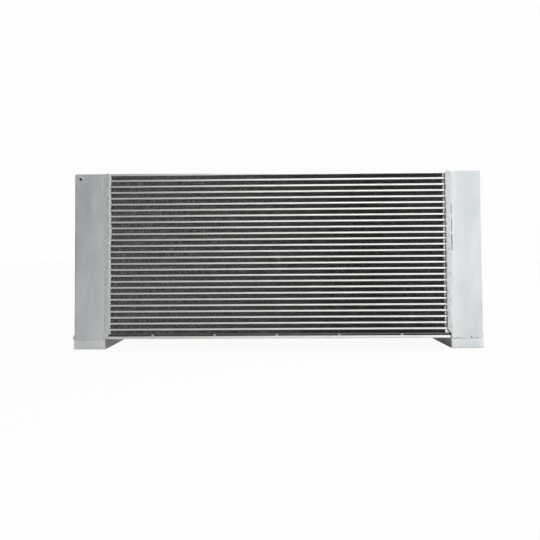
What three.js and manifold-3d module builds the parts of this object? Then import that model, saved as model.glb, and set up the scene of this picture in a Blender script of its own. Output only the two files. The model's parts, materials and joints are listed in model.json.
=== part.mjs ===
// Hydraulic oil cooler: a brazed bar-and-plate aluminium core between two welded tanks on folded feet.
// Millimetres, +Z up. Oil flows along X through flat tubes, air flows along Y through the fins.
// The front faces -Y. The origin is the middle of the overall box, at the level the feet stand on.

import * as THREE from "three";
import { mergeVertices } from "three/addons/utils/BufferGeometryUtils.js";
import Module from "manifold-3d";

const wasm = await Module();
wasm.setup();

// ---- Driving dimensions ----

const JOINT_GAP = 0.3; // braze or weld line between neighbouring pieces

// Core stack
const AIR_ROWS = 27;
const AIR_ROW_HEIGHT = 8;
const OIL_TUBE_HEIGHT = 4.2;
const PARTING_SHEET = 0.6;
const CORE_HALF_LENGTH = 350;
const CORE_DEPTH = 100;
const CLOSING_BAR_WIDTH = 6; // bar along the front and the back of each oil tube
const OIL_CHANNELS = 3;
const TURBULATOR_WEB = 1.2;
const HEADER_BAR_WIDTH = 12; // bar that closes each end of an air row
const HEADER_BAR_NOSE = 2.5;
const FIN_SETBACK = 1;
const FIN_HATS = 7;
const FIN_THICKNESS = 1;
const FIN_LEAN = 3;
const BRAZE_DEPTH = 0.3; // how far a fin or a header bar is sunk into the sheet under it

// Plates above and below the core
const SIDE_PLATE = 4.3;
const BASE_RAIL = 4.2;
const SIDE_PLATE_SETBACK = 6;

// Tanks
const TANK_HALF_SPAN = 416; // outer face of each tank, from the middle
const TANK_WALL = 5;
const TANK_OUTER_RADIUS = 6;
const TANK_INNER_RADIUS = 1.5;
const END_CAP = 4;

// Feet
const FOOT_HEIGHT = 21;
const FOOT_INNER_X = 352;
const FOOT_WALL = 5;
const FOOT_SLOT_LENGTH = 24;
const FOOT_SLOT_WIDTH = 13.5; // clears an M12 bolt
const FOOT_SLOT_SPACING = 50;

// Ports: four-bolt split-flange pads, nominal size 1 1/4 inch
const PORT_WIDTH = 54;
const PORT_HEIGHT = 80;
const PORT_STANDOFF = 20;
const PORT_CORNER = 10;
const PORT_BORE = 32;
const PORT_SPIGOT = 42;
const PORT_BOLT_LONG = 58.7;
const PORT_BOLT_SHORT = 30.2;
const PORT_BOLT_HOLE = 8.5; // tapping size for M10
const PORT_BOLT_DEPTH = 16;
const PORT_FROM_END = 88;

// Tapped bungs with their plugs
const BUNG_RADIUS = 13;
const BUNG_STANDOFF = 8;
const BUNG_SPIGOT = 10;
const PLUG_SHANK = 7;
const PLUG_FLATS = 19;
const PLUG_HEAD = 8;
const PLUG_SHANK_LENGTH = 14;
const WASHER_RADIUS = 11;
const WASHER_THICKNESS = 1.6;
const BUNG_FROM_END = 22;

// Blind tapped boss in the front of the left tank
const BOSS_RADIUS = 5;
const BOSS_HOLE = 2.5; // tapping size for M6
const BOSS_LENGTH = 18;
const BOSS_DEPTH = 13;
const BOSS_FROM_SIDE = 12.5;
const BOSS_FROM_TOP = 10.5;

// Welds
const SEAM_WIDTH = 12;
const SEAM_PROUD = 2;
const SEAM_CENTRE_X = 348.5;
const FOOT_BEAD_WIDTH = 6;
const FOOT_BEAD_PROUD = 1.4;
const TACK_COUNT = 5;
const TACK_SPACING = 127;
const TACK_LENGTH = 10;

// ---- Heights and depths that follow from them ----

const FRONT_Y = -CORE_DEPTH / 2;
const REAR_Y = CORE_DEPTH / 2;
const LAYER_PITCH = AIR_ROW_HEIGHT + OIL_TUBE_HEIGHT;
const TANK_BOTTOM_Z = FOOT_HEIGHT + JOINT_GAP;
const BOTTOM_PLATE_Z = TANK_BOTTOM_Z + BASE_RAIL + JOINT_GAP;
const CORE_BOTTOM_Z = BOTTOM_PLATE_Z + SIDE_PLATE + JOINT_GAP;
const FIRST_TUBE_Z = CORE_BOTTOM_Z + AIR_ROW_HEIGHT;
const TOP_PLATE_Z = FIRST_TUBE_Z + LAYER_PITCH * (AIR_ROWS - 1);
const TOP_Z = TOP_PLATE_Z + SIDE_PLATE;
const TANK_INNER_X = CORE_HALF_LENGTH + JOINT_GAP;
const TANK_CENTRE_X = (CORE_HALF_LENGTH + TANK_HALF_SPAN) / 2;
const SHIFT_Y = (SEAM_PROUD + JOINT_GAP - PORT_STANDOFF) / 2; // puts the origin in the middle of the depth

// ---- Materials ----

const finish = (color, roughness, metalness) => new THREE.MeshStandardMaterial({ color, roughness, metalness });
const PAINTLESS_SHEET = finish(0xc9ced2, 0.5, 0.9);
const CORE_METAL = finish(0xb9bcbd, 0.45, 0.9);
const WELD_METAL = finish(0xd4d6d6, 0.4, 0.9);
const MACHINED_METAL = finish(0xd0d3d6, 0.3, 0.95);
const ZINC_STEEL = finish(0xb4b8bd, 0.35, 0.9);
const SEAL_RUBBER = finish(0x1c1c1e, 0.8, 0);

// ---- Helpers ----

function toSolid(geometry) {
  const bare = geometry.clone();
  bare.deleteAttribute("normal");
  bare.deleteAttribute("uv");
  const merged = mergeVertices(bare);
  return new wasm.Manifold(
    new wasm.Mesh({
      numProp: 3,
      vertProperties: merged.attributes.position.array,
      triVerts: new Uint32Array(merged.index.array),
    }),
  );
}

function toGeometry(solid) {
  const mesh = solid.getMesh();
  const geometry = new THREE.BufferGeometry();
  geometry.setAttribute("position", new THREE.BufferAttribute(mesh.vertProperties, 3));
  geometry.setIndex(new THREE.BufferAttribute(mesh.triVerts, 1));
  geometry.computeVertexNormals();
  return geometry;
}

function join(...geometries) {
  return toGeometry(geometries.map(toSolid).reduce((whole, next) => whole.add(next)));
}

function cut(geometry, ...tools) {
  return toGeometry(tools.map(toSolid).reduce((whole, tool) => whole.subtract(tool), toSolid(geometry)));
}

function box(low, high) {
  const size = high.map((value, axis) => value - low[axis]);
  const middle = high.map((value, axis) => (value + low[axis]) / 2);
  return new THREE.BoxGeometry(...size).translate(...middle);
}

function outline(points) {
  return new THREE.Shape(points.map(([x, y]) => new THREE.Vector2(x, y)));
}

function extrude(shape, depth, curveSegments = 4) {
  return new THREE.ExtrudeGeometry(shape, { depth, bevelEnabled: false, curveSegments });
}

// A shape drawn in X and Z, made a depth long and centred on Y.
function alongY(shape, depth, curveSegments) {
  return extrude(shape, depth, curveSegments).rotateX(Math.PI / 2).translate(0, depth / 2, 0);
}

// A shape drawn in Y and Z, made a length long and centred on X.
function alongX(shape, length, curveSegments) {
  const turn = new THREE.Matrix4().makeBasis(
    new THREE.Vector3(0, 1, 0),
    new THREE.Vector3(0, 0, 1),
    new THREE.Vector3(1, 0, 0),
  );
  return extrude(shape, length, curveSegments).applyMatrix4(turn).translate(-length / 2, 0, 0);
}

// A round rod along Y from one depth to another.
function rodY(radius, fromY, toY, sides) {
  return new THREE.CylinderGeometry(radius, radius, toY - fromY, sides).translate(0, (fromY + toY) / 2, 0);
}

function roundedRectangle(width, height, radius) {
  const shape = new THREE.Shape();
  const x = width / 2 - radius;
  const y = height / 2 - radius;
  shape.absarc(x, y, radius, 0, Math.PI / 2);
  shape.absarc(-x, y, radius, Math.PI / 2, Math.PI);
  shape.absarc(-x, -y, radius, Math.PI, Math.PI * 1.5);
  shape.absarc(x, -y, radius, Math.PI * 1.5, Math.PI * 2);
  return shape;
}

const cooler = new THREE.Group();
cooler.position.y = SHIFT_Y;

function add(name, geometry, material, x = 0, y = 0, z = 0) {
  const mesh = new THREE.Mesh(geometry, material.clone());
  mesh.name = name;
  mesh.position.set(x, y, z);
  cooler.add(mesh);
  return mesh;
}

// ---- Core ----

// A flat oil tube: two parting sheets on two closing bars, with the turbulator's webs between its channels.
function oilTube() {
  const end = CORE_HALF_LENGTH;
  const inside = CORE_DEPTH - 2 * CLOSING_BAR_WIDTH;
  const channel = (inside - TURBULATOR_WEB * (OIL_CHANNELS - 1)) / OIL_CHANNELS;
  const channels = [];
  for (let i = 0; i < OIL_CHANNELS; i += 1) {
    const start = -inside / 2 + i * (channel + TURBULATOR_WEB);
    const low = [-end - 1, start, PARTING_SHEET];
    channels.push(box(low, [end + 1, start + channel, OIL_TUBE_HEIGHT - PARTING_SHEET]));
  }
  return cut(box([-end, FRONT_Y, 0], [end, REAR_Y, OIL_TUBE_HEIGHT]), ...channels);
}

// A header bar with a pointed nose towards the fins. side is 1 at the right end and -1 at the left.
function headerBar(side, foot, top) {
  const outer = CORE_HALF_LENGTH;
  const inner = outer - HEADER_BAR_WIDTH;
  const tip = inner - HEADER_BAR_NOSE;
  const middle = (Math.max(foot, 0) + top) / 2;
  const points = [
    [outer, foot],
    [outer, top],
    [inner, top],
    [tip, middle],
    [inner, foot],
  ];
  return alongY(outline(points.map(([x, z]) => [x * side, z])), CORE_DEPTH);
}

// One hat-shaped fold of the fin strip: two leaning webs under a flat crest.
function finHat(start, end, foot, top) {
  const t = FIN_THICKNESS;
  return outline([
    [start, foot],
    [start + FIN_LEAN, top],
    [end - FIN_LEAN, top],
    [end, foot],
    [end - t, foot],
    [end - FIN_LEAN - t, top - t],
    [start + FIN_LEAN + t, top - t],
    [start + t, foot],
  ]);
}

function finHats(foot, top) {
  const halfFin = CORE_HALF_LENGTH - HEADER_BAR_WIDTH - HEADER_BAR_NOSE - 1;
  const pitch = (2 * halfFin) / (FIN_HATS - 0.5);
  const hats = [];
  for (let i = 0; i < FIN_HATS; i += 1) {
    const start = -halfFin + i * pitch;
    hats.push(alongY(finHat(start, start + pitch / 2, foot, top), CORE_DEPTH - 2 * FIN_SETBACK));
  }
  return hats;
}

// One layer of the stack: an oil tube with the fins and the two header bars that are brazed on it.
function coreLayer() {
  const foot = OIL_TUBE_HEIGHT - BRAZE_DEPTH;
  const top = LAYER_PITCH - JOINT_GAP;
  return join(oilTube(), headerBar(-1, foot, top), headerBar(1, foot, top), ...finHats(foot, top));
}

// The lowest air row stands on a parting sheet of its own.
function bottomAirRow() {
  const top = AIR_ROW_HEIGHT - JOINT_GAP;
  const sheet = box([-CORE_HALF_LENGTH, FRONT_Y, 0], [CORE_HALF_LENGTH, REAR_Y, PARTING_SHEET]);
  const foot = PARTING_SHEET - BRAZE_DEPTH;
  return join(sheet, headerBar(-1, foot, top), headerBar(1, foot, top), ...finHats(foot, top));
}

function addCore() {
  add("bottom_air_row", bottomAirRow(), CORE_METAL, 0, 0, CORE_BOTTOM_Z);
  const layer = coreLayer();
  for (let i = 1; i < AIR_ROWS; i += 1) {
    const name = `core_layer_${String(i).padStart(2, "0")}`;
    add(name, layer, CORE_METAL, 0, 0, FIRST_TUBE_Z + (i - 1) * LAYER_PITCH);
  }
}

// ---- Plates above and below the core ----

function addPlates() {
  const end = CORE_HALF_LENGTH;
  const setBack = SIDE_PLATE_SETBACK;
  const top = box([-end, FRONT_Y, 0], [end, REAR_Y, SIDE_PLATE]);
  const bottom = box([-end, FRONT_Y + setBack, 0], [end, REAR_Y - setBack, SIDE_PLATE]);
  const rail = box([-end, FRONT_Y, 0], [end, REAR_Y, BASE_RAIL]);
  add("top_side_plate", top, CORE_METAL, 0, 0, TOP_PLATE_Z);
  add("bottom_side_plate", bottom, CORE_METAL, 0, 0, BOTTOM_PLATE_Z);
  add("base_rail", rail, PAINTLESS_SHEET, 0, 0, TANK_BOTTOM_Z);
}

// ---- Tanks ----

// The right tank's channel: a sheet folded round the front, the outer side and the back.
function tankSection() {
  const outerX = TANK_HALF_SPAN;
  const innerX = outerX - TANK_WALL;
  const innerY = REAR_Y - TANK_WALL;
  const outerR = TANK_OUTER_RADIUS;
  const innerR = TANK_INNER_RADIUS;
  const shape = new THREE.Shape();
  shape.moveTo(TANK_INNER_X, FRONT_Y);
  shape.absarc(outerX - outerR, FRONT_Y + outerR, outerR, -Math.PI / 2, 0, false);
  shape.absarc(outerX - outerR, REAR_Y - outerR, outerR, 0, Math.PI / 2, false);
  shape.lineTo(TANK_INNER_X, REAR_Y);
  shape.lineTo(TANK_INNER_X, innerY);
  shape.absarc(innerX - innerR, innerY - innerR, innerR, Math.PI / 2, 0, true);
  shape.absarc(innerX - innerR, -innerY + innerR, innerR, 0, -Math.PI / 2, true);
  shape.lineTo(TANK_INNER_X, -innerY);
  return shape;
}

// A tank's channel with round holes through its front or back wall. Each hole is [x, z, radius, wall side].
function tankChannel(side, holes) {
  const channel = extrude(tankSection(), TOP_Z - TANK_BOTTOM_Z).translate(0, 0, TANK_BOTTOM_Z);
  if (side < 0) {
    channel.rotateZ(Math.PI);
  }
  const tools = holes.map(({ x, z, radius, wall }) => {
    const depth = [REAR_Y - 2 * TANK_WALL, REAR_Y + TANK_WALL].map((y) => y * wall);
    return rodY(radius + JOINT_GAP, Math.min(...depth), Math.max(...depth), 32).translate(x, 0, z);
  });
  return cut(channel, ...tools);
}

// A plate that closes one end of a tank, inside the folded channel.
function endCap(side) {
  const innerEdge = TANK_INNER_X;
  const outerEdge = TANK_HALF_SPAN - TANK_WALL - JOINT_GAP;
  const halfDepth = REAR_Y - TANK_WALL - JOINT_GAP;
  const corner = TANK_INNER_RADIUS;
  const points = [
    [innerEdge, -halfDepth],
    [outerEdge - corner, -halfDepth],
    [outerEdge, -halfDepth + corner],
    [outerEdge, halfDepth - corner],
    [outerEdge - corner, halfDepth],
    [innerEdge, halfDepth],
  ];
  return extrude(outline(points.map(([x, y]) => [x * side, y])), END_CAP);
}

// ---- Feet ----

// A foot folded from sheet: floor, front, back and inner walls. It is open outwards for a spanner.
function foot(side) {
  const low = [FOOT_INNER_X, FRONT_Y, 0];
  const high = [TANK_HALF_SPAN, REAR_Y, FOOT_HEIGHT];
  const space = box(
    [low[0] + FOOT_WALL, low[1] + FOOT_WALL, FOOT_WALL],
    [high[0] + FOOT_WALL, high[1] - FOOT_WALL, FOOT_HEIGHT + FOOT_WALL],
  );
  const slotShape = roundedRectangle(FOOT_SLOT_LENGTH, FOOT_SLOT_WIDTH, FOOT_SLOT_WIDTH / 2);
  const slotX = (FOOT_INNER_X + FOOT_WALL + TANK_HALF_SPAN) / 2;
  const slots = [-1, 1].map((end) => {
    const slot = extrude(slotShape, 3 * FOOT_WALL, 5);
    return slot.translate(slotX, (end * FOOT_SLOT_SPACING) / 2, -FOOT_WALL);
  });
  const tray = cut(box(low, high), space, ...slots);
  return side < 0 ? tray.rotateZ(Math.PI) : tray;
}

// ---- Ports, bungs and plugs ----

// A four-bolt flange pad with a spigot through the tank's back wall. Its centre is on the wall's face.
function flangePort() {
  const pad = alongY(roundedRectangle(PORT_WIDTH, PORT_HEIGHT, PORT_CORNER), PORT_STANDOFF - JOINT_GAP, 5);
  pad.translate(0, (PORT_STANDOFF + JOINT_GAP) / 2, 0);
  const spigot = rodY(PORT_SPIGOT / 2, -TANK_WALL - 1, PORT_STANDOFF / 2, 32);
  const bore = rodY(PORT_BORE / 2, -2 * TANK_WALL, 2 * PORT_STANDOFF, 32);
  const holes = [];
  for (const x of [-0.5, 0.5]) {
    for (const z of [-0.5, 0.5]) {
      const hole = rodY(PORT_BOLT_HOLE / 2, PORT_STANDOFF - PORT_BOLT_DEPTH, 2 * PORT_STANDOFF, 12);
      holes.push(hole.translate(x * PORT_BOLT_SHORT, 0, z * PORT_BOLT_LONG));
    }
  }
  return cut(join(pad, spigot), bore, ...holes);
}

// A round bung welded into the tank's back wall, bored for the plug.
function bung() {
  const profile = [
    [PLUG_SHANK + JOINT_GAP, -TANK_WALL - 1],
    [BUNG_SPIGOT, -TANK_WALL - 1],
    [BUNG_SPIGOT, JOINT_GAP],
    [BUNG_RADIUS, JOINT_GAP],
    [BUNG_RADIUS, BUNG_STANDOFF - 1],
    [BUNG_RADIUS - 1, BUNG_STANDOFF],
    [PLUG_SHANK + JOINT_GAP, BUNG_STANDOFF],
    [PLUG_SHANK + JOINT_GAP, -TANK_WALL - 1],
  ];
  return turned(profile, 20);
}

function turned(profile, sides) {
  return new THREE.LatheGeometry(profile.map(([r, y]) => new THREE.Vector2(r, y)), sides);
}

function sealingWasher() {
  const low = BUNG_STANDOFF + JOINT_GAP;
  const high = low + WASHER_THICKNESS;
  const inner = PLUG_SHANK + JOINT_GAP;
  const profile = [
    [inner, low],
    [WASHER_RADIUS, low],
    [WASHER_RADIUS, high],
    [inner, high],
    [inner, low],
  ];
  return turned(profile, 20);
}

function hexPlug() {
  const seat = BUNG_STANDOFF + WASHER_THICKNESS + 2 * JOINT_GAP;
  const cornerRadius = PLUG_FLATS / Math.sqrt(3);
  const head = new THREE.CylinderGeometry(cornerRadius, cornerRadius, PLUG_HEAD, 6);
  head.translate(0, seat + PLUG_HEAD / 2, 0);
  const collar = rodY(WASHER_RADIUS, seat, seat + 1.5, 20);
  const shank = rodY(PLUG_SHANK, seat + 1 - PLUG_SHANK_LENGTH, seat + 1, 20);
  return join(head, collar, shank);
}

// The front boss: flush with the tank's face, with a blind tapped hole.
function tappedBoss() {
  const profile = [
    [0, BOSS_LENGTH],
    [0, BOSS_DEPTH],
    [BOSS_HOLE, BOSS_DEPTH - 1.5],
    [BOSS_HOLE, 0],
    [BOSS_RADIUS, 0],
    [BOSS_RADIUS, BOSS_LENGTH],
    [0, BOSS_LENGTH],
  ];
  return turned(profile, 20);
}

function addTanks() {
  const inlet = { x: TANK_CENTRE_X, z: TANK_BOTTOM_Z + PORT_FROM_END, radius: PORT_SPIGOT / 2, wall: 1 };
  const outlet = { x: -TANK_CENTRE_X, z: TOP_Z - PORT_FROM_END, radius: PORT_SPIGOT / 2, wall: 1 };
  const drain = { x: TANK_CENTRE_X, z: TANK_BOTTOM_Z + BUNG_FROM_END, radius: BUNG_SPIGOT, wall: 1 };
  const bleed = { x: -TANK_CENTRE_X, z: TOP_Z - BUNG_FROM_END, radius: BUNG_SPIGOT, wall: 1 };
  const boss = {
    x: -TANK_HALF_SPAN + BOSS_FROM_SIDE,
    z: TOP_Z - BOSS_FROM_TOP,
    radius: BOSS_RADIUS,
    wall: -1,
  };
  add("left_tank", tankChannel(-1, [outlet, bleed, boss]), PAINTLESS_SHEET);
  add("right_tank", tankChannel(1, [inlet, drain]), PAINTLESS_SHEET);
  for (const [word, side] of [["left", -1], ["right", 1]]) {
    add(`${word}_top_cap`, endCap(side), PAINTLESS_SHEET, 0, 0, TOP_Z - END_CAP);
    add(`${word}_bottom_cap`, endCap(side), PAINTLESS_SHEET, 0, 0, TANK_BOTTOM_Z);
    add(`${word}_foot`, foot(side), PAINTLESS_SHEET);
  }
  add("inlet_port", flangePort(), MACHINED_METAL, inlet.x, REAR_Y, inlet.z);
  add("outlet_port", flangePort(), MACHINED_METAL, outlet.x, REAR_Y, outlet.z);
  for (const [word, place] of [["drain", drain], ["bleed", bleed]]) {
    add(`${word}_bung`, bung(), MACHINED_METAL, place.x, REAR_Y, place.z);
    add(`${word}_washer`, sealingWasher(), SEAL_RUBBER, place.x, REAR_Y, place.z);
    add(`${word}_plug`, hexPlug(), ZINC_STEEL, place.x, REAR_Y, place.z);
  }
  add("shroud_boss", tappedBoss(), MACHINED_METAL, boss.x, FRONT_Y, boss.z);
}

// ---- Welds ----

// The low arch of a weld bead's section: a flat back, an arc in front. It is drawn with its crown towards +Y.
function beadSection(width, proud) {
  const half = width / 2;
  const radius = (half * half + proud * proud) / (2 * proud);
  const spread = Math.asin(half / radius);
  const shape = new THREE.Shape();
  shape.absarc(0, proud - radius, radius, Math.PI / 2 - spread, Math.PI / 2 + spread, false);
  return shape;
}

// The vertical seam between a tank and the header bars. face is -1 at the front and 1 at the back.
function addSeam(name, side, face) {
  const low = CORE_BOTTOM_Z;
  const bead = extrude(beadSection(SEAM_WIDTH, SEAM_PROUD), TOP_Z - low, 6);
  if (face < 0) {
    bead.rotateZ(Math.PI);
  }
  add(name, bead, WELD_METAL, side * SEAM_CENTRE_X, face * (REAR_Y + JOINT_GAP), low);
}

// The horizontal seam between a tank and its foot, at the front.
function addFootSeam(name, side) {
  const length = TANK_HALF_SPAN - FOOT_INNER_X - 2 * TANK_OUTER_RADIUS;
  const bead = alongX(beadSection(FOOT_BEAD_WIDTH, FOOT_BEAD_PROUD), length, 6).rotateX(Math.PI / 2);
  const x = side * (TANK_HALF_SPAN + FOOT_INNER_X) / 2;
  add(name, bead, WELD_METAL, x, FRONT_Y - JOINT_GAP, TANK_BOTTOM_Z - JOINT_GAP / 2);
}

// A tack between the rail and the side plate: a flattened ball in the recess in front of the plate.
function tackWeld() {
  const deep = SIDE_PLATE_SETBACK - 2 * JOINT_GAP;
  return new THREE.SphereGeometry(0.5, 10, 6).scale(TACK_LENGTH, deep, SIDE_PLATE - JOINT_GAP);
}

function addWelds() {
  addSeam("left_front_seam", -1, -1);
  addSeam("right_front_seam", 1, -1);
  addSeam("left_rear_seam", -1, 1);
  addSeam("right_rear_seam", 1, 1);
  addFootSeam("left_foot_seam", -1);
  addFootSeam("right_foot_seam", 1);
  for (let i = 0; i < TACK_COUNT; i += 1) {
    const x = (i - (TACK_COUNT - 1) / 2) * TACK_SPACING;
    const y = FRONT_Y + SIDE_PLATE_SETBACK / 2;
    add(`tack_weld_${i + 1}`, tackWeld(), WELD_METAL, x, y, BOTTOM_PLATE_Z + SIDE_PLATE / 2);
  }
}

addCore();
addPlates();
addTanks();
addWelds();

export default cooler;
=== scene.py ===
import json
import math

import bmesh
import bpy
import numpy as np
from mathutils import Matrix, Vector


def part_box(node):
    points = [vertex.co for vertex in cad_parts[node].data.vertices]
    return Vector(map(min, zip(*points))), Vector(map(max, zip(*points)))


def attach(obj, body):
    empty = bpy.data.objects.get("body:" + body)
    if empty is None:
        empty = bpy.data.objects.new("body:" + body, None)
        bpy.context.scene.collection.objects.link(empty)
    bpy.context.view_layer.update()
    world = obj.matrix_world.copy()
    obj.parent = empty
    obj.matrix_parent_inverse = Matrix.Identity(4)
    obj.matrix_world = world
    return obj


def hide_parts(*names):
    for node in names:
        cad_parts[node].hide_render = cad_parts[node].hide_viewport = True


# Looks of a bar-and-plate hydraulic oil cooler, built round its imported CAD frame.
# Everything is in metres, in the frame's axes: +X right, +Y from front to back, +Z up.

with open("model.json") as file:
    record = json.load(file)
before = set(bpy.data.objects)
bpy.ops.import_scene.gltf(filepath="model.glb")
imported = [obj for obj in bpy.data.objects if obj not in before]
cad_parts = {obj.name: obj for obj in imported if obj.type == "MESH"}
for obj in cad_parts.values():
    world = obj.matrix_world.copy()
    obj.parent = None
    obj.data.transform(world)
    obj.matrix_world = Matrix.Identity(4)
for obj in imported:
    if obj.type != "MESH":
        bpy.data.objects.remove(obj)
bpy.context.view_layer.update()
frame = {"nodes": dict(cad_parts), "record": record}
MM = 0.001

# ---- Sizes read from the frame ----

LAYERS = sorted(n for n in frame["nodes"] if n.startswith("core_layer_"))
LAYER_LOW, LAYER_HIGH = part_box(LAYERS[0])
ROW_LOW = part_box("bottom_air_row")[0]
CORE_END = LAYER_HIGH.x
FRONT, REAR = LAYER_LOW.y, LAYER_HIGH.y
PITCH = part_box(LAYERS[1])[0].z - LAYER_LOW.z
AIR_HEIGHT = LAYER_LOW.z - ROW_LOW.z
TUBE_HEIGHT = PITCH - AIR_HEIGHT
TANK_LOW, TANK_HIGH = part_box("right_tank")
FOOT_LOW, FOOT_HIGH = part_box("right_foot")
SIDES = {"left": -1, "right": 1}

# ---- Sizes of the fine pieces ----

SHEET = 0.6 * MM
CLOSING_BAR = 6 * MM
HEADER_BAR = 9 * MM
HEADER_NOSE = 1.2 * MM
HEADER_SETBACK = 2.2 * MM
FIN_WAVES = 150
FIN_WIDTH_SPREAD = 0.05
# One fold of a fin strip: its share of the fold's width and of the row's height
FIN_FOLD = np.array([[0, 0], [0.04, 0], [0.09, 0.05], [0.45, 0.95], [0.5, 1], [0.54, 1], [0.59, 0.95], [0.95, 0.05]])
FIN_FOIL = 0.2 * MM
FIN_GAP_AT_ENDS = 1.9 * MM
FIN_SETBACK = 1.2 * MM
HERRINGBONE_SWING = 1.3 * MM
HERRINGBONE_STEPS = 10
OIL_FOLDS = 22
OIL_FOIL = 0.2 * MM
# One fold of the strip in an oil passage, in the same way
OIL_FOLD = np.array([[0, 0], [0.35, 0], [0.5, 1], [0.85, 1]])
TANK_WALL = 5 * MM
TANK_RADIUS = 3 * MM
RAIL_LIP = 1.1 * MM  # height of the folded edges that stand along the rail
GROUND_WIDTH = 3.2 * MM  # slope ground on the right foot's upright corner
GROUND_DEPTH = 0.9 * MM
PORT_BORE = 16 * MM
BOLT_CORE = 4.25 * MM  # radius of an M10 hole before tapping
PLUG_THREAD = 7.3 * MM
BOSS_HOLE = 3.1 * MM
UNDERCUT_X = 355.6 * MM  # the groove beside the right front seam
UNDERCUT_DEPTH = 1.4 * MM
UNDERCUT_LEVELS = [0.19, 0.205, 0.228, 0.236, 0.262, 0.27, 0.292, 0.3]
UNDERCUT_SHARES = [0, 1, 1, 0.35, 0.6, 0.2, 0.5, 0]
# Near-black runs of painted shade in the groove beside the right front seam:
PAINTED_SHADE_RUNS = [(0.198, 0.231, 2.0 * MM), (0.237, 0.262, 1.1 * MM), (0.273, 0.292, 0.8 * MM)]  # start, end, width


# ---- Mesh helpers ----


def turn_outward(mesh, join=0.0):
    """Turns a mesh's faces outward, after joining vertices that are closer than join."""
    bm = bmesh.new()
    bm.from_mesh(mesh)
    if join:
        bmesh.ops.remove_doubles(bm, verts=bm.verts, dist=join)
    bmesh.ops.recalc_face_normals(bm, faces=bm.faces)
    bm.to_mesh(mesh)
    bm.free()


def shade(mesh, sharp_degrees=35):
    mesh.shade_smooth()
    mesh.set_sharp_from_angle(angle=math.radians(sharp_degrees))


def new_object(name, data):
    made = bpy.data.objects.new(name, data)
    bpy.context.scene.collection.objects.link(made)
    return made


def solid_mesh(name, solid):
    """A mesh from (vertices, faces), with its faces turned outward."""
    mesh = bpy.data.meshes.new(name)
    mesh.from_pydata(solid[0], [], solid[1])
    turn_outward(mesh)
    return mesh


def make_piece(name, solid, material, stands_for=(), sharp_degrees=35, join=0.0):
    """A piece from (vertices, faces). It rides on the one body and may stand for CAD nodes."""
    mesh = solid_mesh(name, solid)
    mesh.validate()
    mesh.materials.append(material)
    shade(mesh, sharp_degrees)
    if join:
        turn_outward(mesh, join)
    piece = new_object(name, mesh)
    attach(piece, "root")
    if stands_for:
        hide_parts(*stands_for)
    return piece


def shell(upper, lower):
    """Vertices and quads of the closed body between two equal grids of points."""
    rows, columns = upper.shape[:2]
    verts = np.concatenate([upper.reshape(-1, 3), lower.reshape(-1, 3)])
    index = np.arange(rows * columns).reshape(rows, columns)
    other = index + rows * columns

    def sheet(i):
        return np.stack([i[:-1, :-1], i[:-1, 1:], i[1:, 1:], i[1:, :-1]], axis=-1).reshape(-1, 4)

    def rim(a, b):
        return np.stack([a[:-1], b[:-1], b[1:], a[1:]], axis=-1)

    quads = [
        sheet(index),
        sheet(other)[:, ::-1],
        rim(index[0], other[0]),
        rim(index[-1], other[-1])[:, ::-1],
        rim(index[:, 0], other[:, 0])[:, ::-1],
        rim(index[:, -1], other[:, -1]),
    ]
    return verts, np.concatenate(quads)


def ring_quads(count, size):
    """The indices of count rings of size points, and the quads between the rings."""
    index = np.arange(count * size).reshape(count, size)
    after = np.roll(index, -1, axis=1)
    return index, np.stack([index[:-1], after[:-1], after[1:], index[1:]], axis=-1).reshape(-1, 4)


def prism(section, start, end, place, rounded=0.0, steps=1, wobble=None):
    """Quads of a convex section swept from start to end. place(points, station) gives positions in space.
    The ends shrink by rounded, as if their edges were filed."""
    section = np.asarray(section, float)
    middle = section.mean(axis=0)
    away = section - middle
    reach = np.abs(away).max()
    stations = np.linspace(start, end, steps + 1)
    rings = []
    if rounded:
        small = middle + away * (1 - rounded / reach)
        stations = np.clip(stations, start + rounded, end - rounded)
        rings.append((small, start))
    rings += [(section, s) for s in stations]
    if rounded:
        rings.append((small, end))
    points = np.array([place(ring + np.asarray(wobble(s) if wobble else (0, 0)), s) for ring, s in rings])
    index, walls = ring_quads(*points.shape[:2])
    return points.reshape(-1, 3), walls, index[0][::-1], index[-1]


def capped(parts):
    """Vertices and faces, with end caps, of several prisms."""
    verts, faces, count = [], [], 0
    for v, walls, *ends in parts:
        verts.extend(v)
        faces.extend((walls + count).tolist())
        faces.extend((end + count).tolist() for end in ends)
        count += len(v)
    return verts, faces


def along(axis):
    """Puts a section's points at a station of an axis, for prism."""
    return lambda ring, s: np.insert(ring, axis, s, axis=1)


along_x, along_y, along_z = along(0), along(1), along(2)


def swaying(line, start, end, direction):
    """A wobble for prism: direction times the value that line has at each station."""
    steps = len(line) - 1
    return lambda s: np.multiply(direction, line[int(round((s - start) / (end - start) * steps))])


def rounded_box_section(a0, a1, b0, b1, radius, steps=2):
    """Points round a rectangle with rounded corners, anticlockwise."""
    points = []
    corners = [(a1, b1, 0), (a0, b1, 90), (a0, b0, 180), (a1, b0, 270)]
    for a, b, turn in corners:
        ca = a - math.copysign(radius, a - (a0 + a1) / 2)
        cb = b - math.copysign(radius, b - (b0 + b1) / 2)
        for k in range(steps + 1):
            t = math.radians(turn + 90 * k / steps)
            points.append((ca + radius * math.cos(t), cb + radius * math.sin(t)))
    return points


def knot_count(length, feature):
    return max(4, int(length / feature) + 3)


def eased(values, count):
    """The values along their first axis, eased out to count steps."""
    at = np.linspace(0, len(values) - 1.001, count)
    low = at.astype(int)
    t = at - low
    t = (t * t * (3 - 2 * t)).reshape(-1, *[1] * (values.ndim - 1))
    return values[low] * (1 - t) + values[np.minimum(low + 1, len(values) - 1)] * t


def smooth_noise(length, feature, seed):
    """A repeatable wavy line, about -1 to 1, with bumps about feature points long."""
    return eased(np.random.default_rng(seed).uniform(-1, 1, knot_count(length, feature)), length)


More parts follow.
